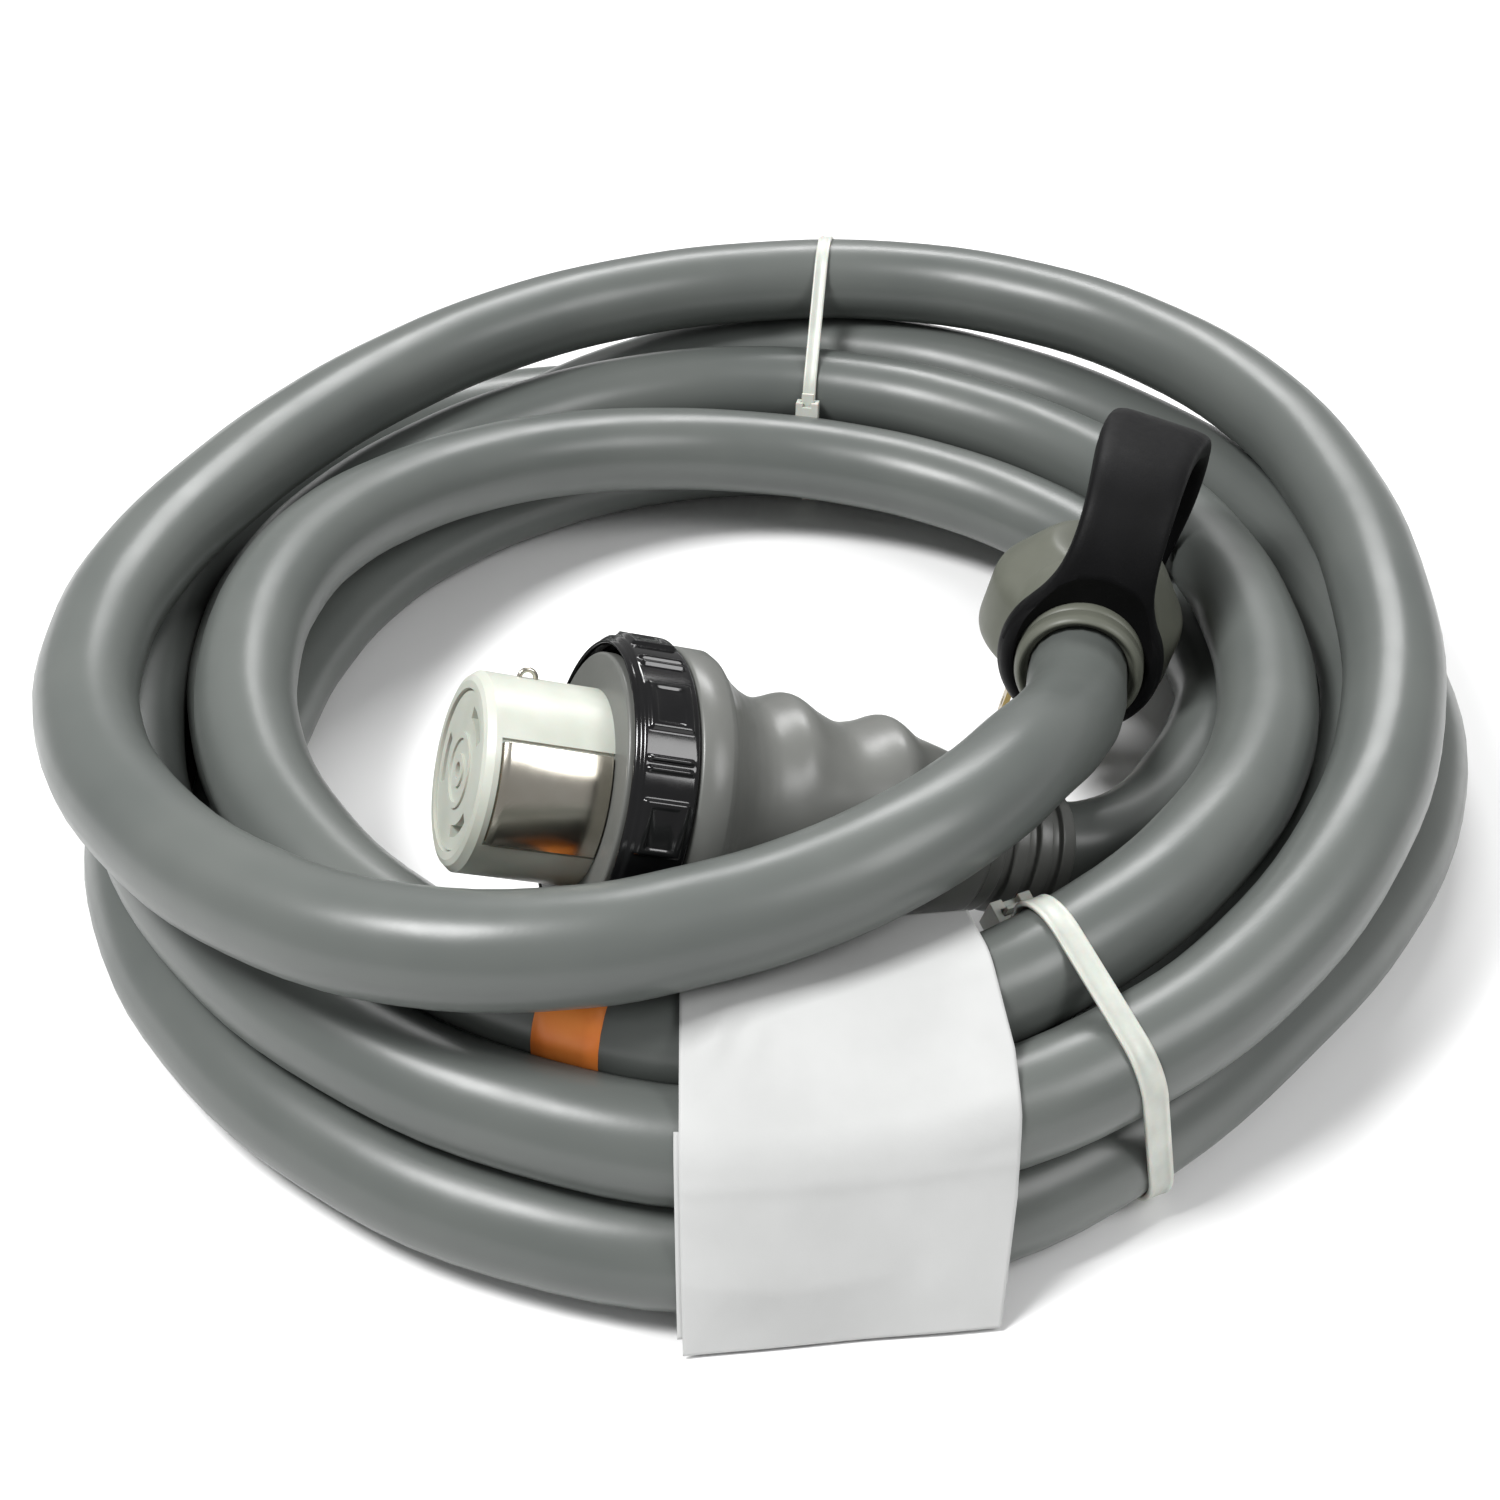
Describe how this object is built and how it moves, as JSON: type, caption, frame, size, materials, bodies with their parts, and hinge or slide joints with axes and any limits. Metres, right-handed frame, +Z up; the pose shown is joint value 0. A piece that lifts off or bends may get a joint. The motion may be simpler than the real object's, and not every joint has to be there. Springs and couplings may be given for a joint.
{
  "type": "shore power cord",
  "caption": "Coiled heavy shore power cord with a right-angle four-blade plug, a pull handle, and a locking connector with a threaded sealing ring.",
  "frame": {"origin": "on the floor, under the middle of the whole object's box", "axes": "+Z up through the coil, +Y from the tag across the coil to the rear cable tie, +X from the connector's side of the coil to the plug's side"},
  "size_m": [0.448, 0.4665, 0.1247],
  "materials": {
    "plug_shell": "satin",
    "dark_plastic": "satin",
    "brass": "satin",
    "nickel": "bright",
    "wire_insulation": "satin",
    "zinc": "satin",
    "black_rubber": "matt",
    "white_nylon": "satin",
    "grey_rubber": "satin",
    "gloss_black": "gloss",
    "tie_nylon": "satin",
    "tag_paper": "matt",
    "orange_label": "satin",
    "cord_jacket": "satin"
  },
  "bodies": {
    "cord_set": {"plug_body": "plug_shell", "plug_pin_carrier": "dark_plastic", "plug_line_blade_left": "brass", "plug_line_blade_right": "brass", "plug_neutral_blade": "nickel", "plug_ground_pin": "brass", "plug_crimp_sleeves": "nickel", "plug_conductors": "wire_insulation", "plug_cord_clamp_ring": "zinc", "plug_cord_collar": "plug_shell", "plug_pull_handle": "black_rubber", "connector_insert": "white_nylon", "connector_face_cover": "white_nylon", "connector_line_contact_a": "brass", "connector_line_contact_b": "brass", "connector_neutral_contact": "brass", "connector_ground_plate_front": "nickel", "connector_ground_plate_rear": "nickel", "connector_ground_strap": "nickel", "connector_ground_hook": "nickel", "connector_rear_carrier": "dark_plastic", "connector_terminal_screws": "brass", "connector_assembly_screws": "zinc", "connector_conductors": "wire_insulation", "connector_cord_clamp": "zinc", "connector_clamp_screws": "zinc", "connector_flange": "grey_rubber", "connector_hub": "dark_plastic", "connector_boot": "grey_rubber", "connector_strain_relief": "grey_rubber", "rear_tie_strap": "tie_nylon", "rear_tie_head": "tie_nylon", "rear_tie_pawl": "tie_nylon", "front_tie_strap": "tie_nylon", "front_tie_head": "tie_nylon", "front_tie_pawl": "tie_nylon", "folded_tag": "tag_paper", "cord_label": "orange_label", "cord_top_loop": "cord_jacket", "cord_inner_turn": "cord_jacket", "cord_coil": "cord_jacket", "cord_connector_lead": "cord_jacket"},
    "slip_washer": {"ring_slip_washer": "white_nylon"},
    "sealing_ring": {"threaded_sealing_ring": "gloss_black", "ring_gasket": "black_rubber"}
  },
  "joints": [
    {"name": "ring_slide", "type": "slide", "parent": "cord_set", "child": "slip_washer", "axis": [-0.9185, -0.212, 0.3338], "range_m": [0, 0.0025]},
    {"name": "ring_turn", "type": "hinge", "parent": "slip_washer", "child": "sealing_ring", "pos_m": [-0.047, -0.11218, 0.08325], "axis": [-0.9185, -0.212, 0.3338], "continuous": true}
  ]
}
